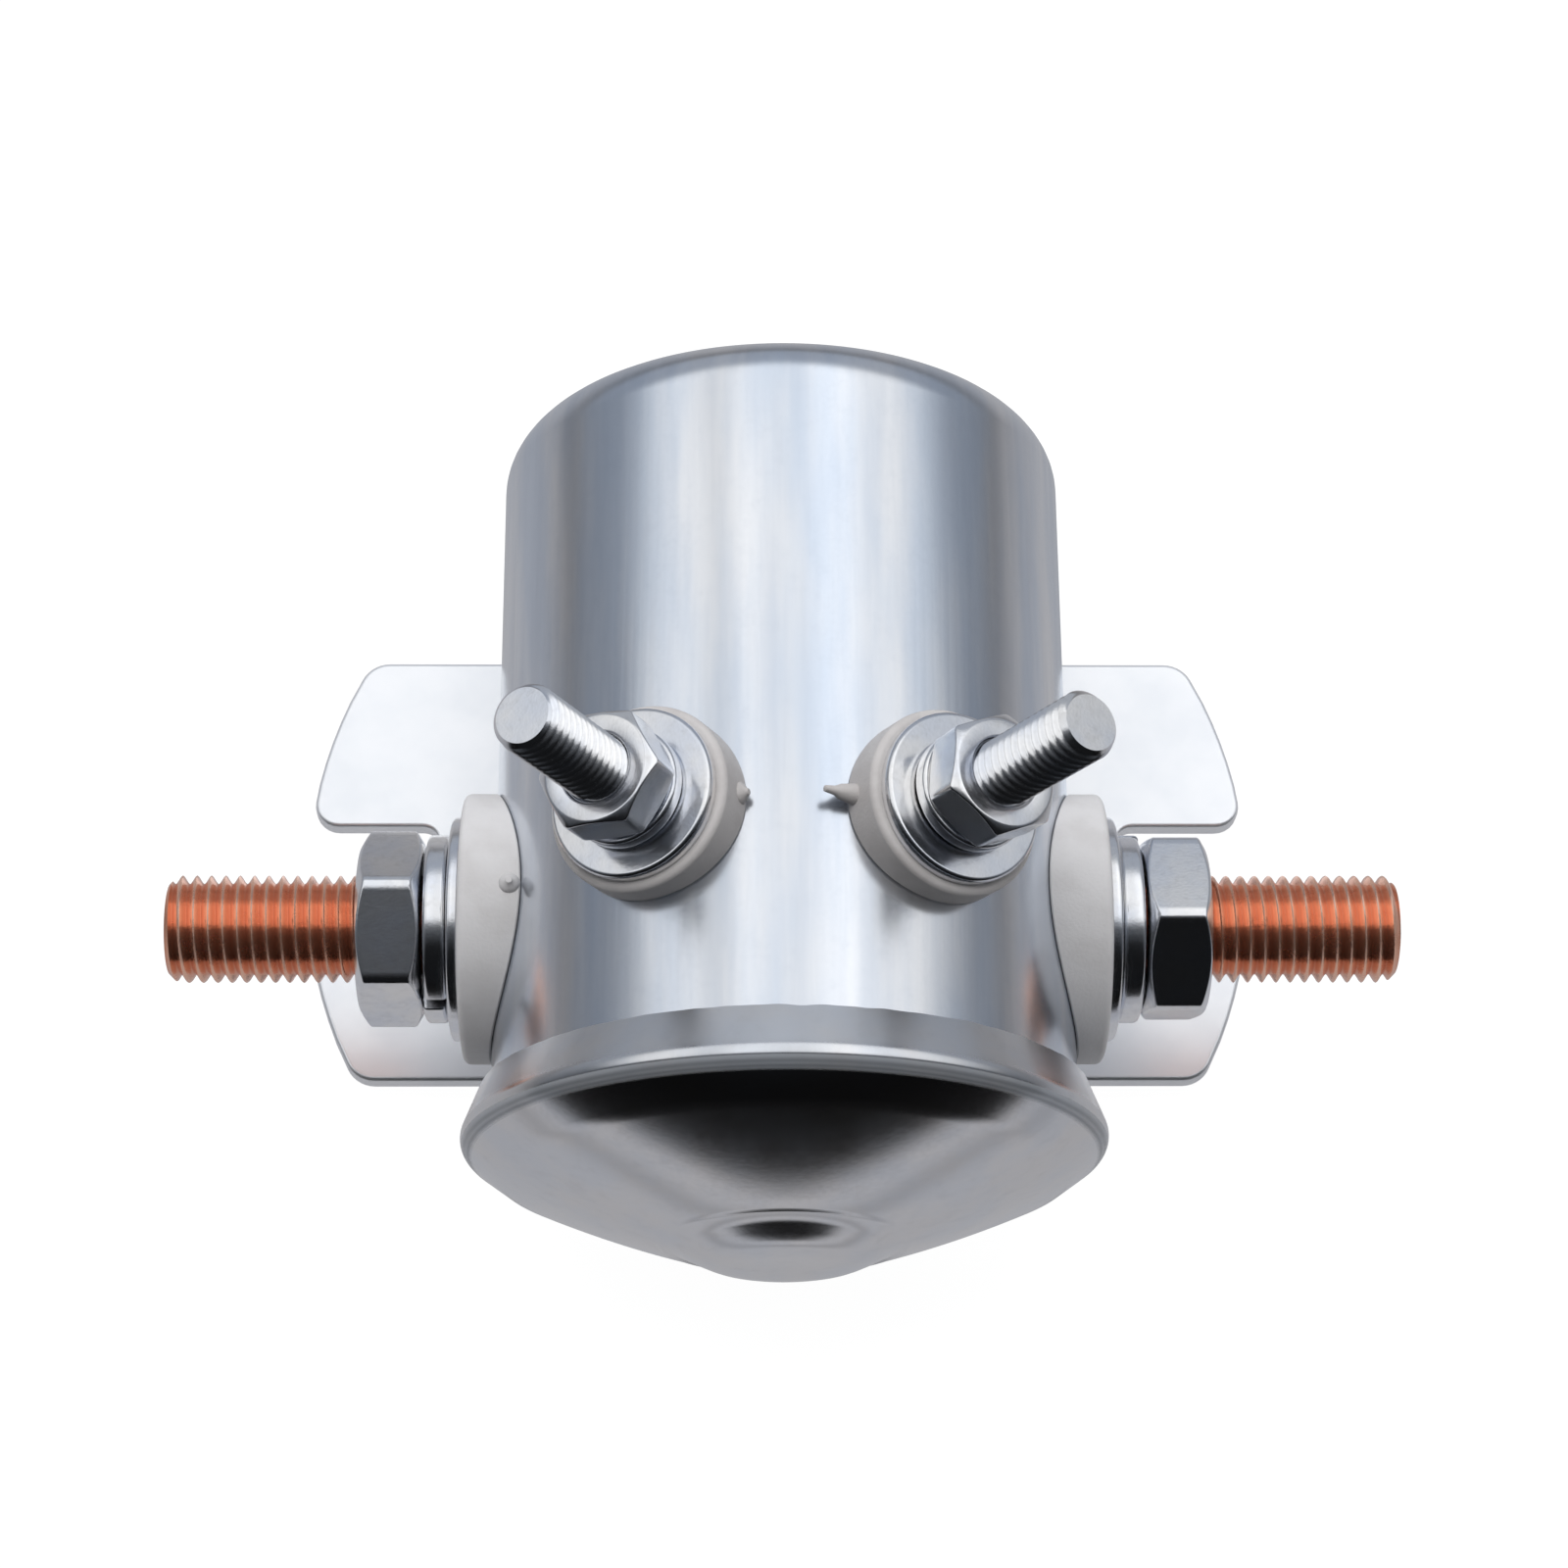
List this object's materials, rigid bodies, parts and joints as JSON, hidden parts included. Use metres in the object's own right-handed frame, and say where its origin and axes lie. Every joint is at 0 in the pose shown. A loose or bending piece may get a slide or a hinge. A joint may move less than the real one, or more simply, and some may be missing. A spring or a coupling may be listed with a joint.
{
  "type": "starter solenoid relay",
  "caption": "Starter solenoid relay: drawn steel can with a crimped dished cap, copper power studs, zinc coil studs, slotted bracket and a sliding plunger with contact disc.",
  "frame": {"origin": "centre of the mounting bracket's flat back face", "axes": "+Z away from the mounting surface, +Y along the can to its closed end, +X along the two power studs"},
  "size_m": [0.0904, 0.0647, 0.0605],
  "materials": {
    "zinc_can": "drawn mild steel, bright blue zinc plate",
    "zinc_cap": "pressed mild steel, satin zinc plate",
    "zinc_bracket": "stamped mild steel, pale blue zinc plate",
    "zinc_fastener": "turned steel, bright zinc plate",
    "stud_copper": "bare rolled-thread copper",
    "insulator_grey": "moulded warm light grey thermoset",
    "bobbin_nylon": "moulded natural nylon",
    "enamelled_copper": "enamelled copper wire",
    "wrap_paper": "insulating paper",
    "plain_steel": "plain oiled steel",
    "guide_brass": "drawn brass",
    "gasket_rubber": "black rubber"
  },
  "bodies": {
    "housing": {"can": "zinc_can", "end_cap": "zinc_cap", "cap_gasket": "gasket_rubber", "mounting_bracket": "zinc_bracket", "power_stud_left": "stud_copper", "power_stud_right": "stud_copper", "power_insulator_left": "insulator_grey", "power_insulator_right": "insulator_grey", "power_bush_left": "insulator_grey", "power_bush_right": "insulator_grey", "power_washer_left": "zinc_fastener", "power_washer_right": "zinc_fastener", "power_lock_washer_left": "zinc_fastener", "power_lock_washer_right": "zinc_fastener", "power_nut_left": "zinc_fastener", "power_nut_right": "zinc_fastener", "coil_stud_left": "zinc_fastener", "coil_stud_right": "zinc_fastener", "coil_insulator_left": "insulator_grey", "coil_insulator_right": "insulator_grey", "coil_bush_left": "insulator_grey", "coil_bush_right": "insulator_grey", "coil_washer_left": "zinc_fastener", "coil_washer_right": "zinc_fastener", "coil_lock_washer_left": "zinc_fastener", "coil_lock_washer_right": "zinc_fastener", "coil_nut_left": "zinc_fastener", "coil_nut_right": "zinc_fastener", "coil_lead_left": "enamelled_copper", "coil_lead_right": "enamelled_copper", "bobbin": "bobbin_nylon", "coil_winding": "enamelled_copper", "winding_wrap": "wrap_paper", "flux_plate": "plain_steel", "guide_tube": "guide_brass", "fixed_core": "plain_steel"},
    "plunger": {"plunger": "plain_steel", "plunger_rod": "guide_brass", "rod_clip": "plain_steel", "spring_seat": "plain_steel", "return_spring": "plain_steel", "overtravel_spring": "plain_steel"},
    "contact": {"contact_disc": "stud_copper", "disc_bush": "bobbin_nylon", "disc_washer": "bobbin_nylon"}
  },
  "joints": [
    {"name": "plunger_slide", "type": "slide", "parent": "housing", "child": "plunger", "axis": [0, 1, 0], "range_m": [0, 0.0024], "stiffness_N_per_m": 1500, "springref_m": -0.004, "deforming": ["return_spring"]},
    {"name": "contact_overtravel", "type": "slide", "parent": "plunger", "child": "contact", "axis": [0, 1, 0], "range_m": [-0.0006, 0], "deforming": ["overtravel_spring"]}
  ],
  "couplings": [
    {"joint": "contact_overtravel", "follows": "plunger_slide", "ratio": -0.25}
  ]
}
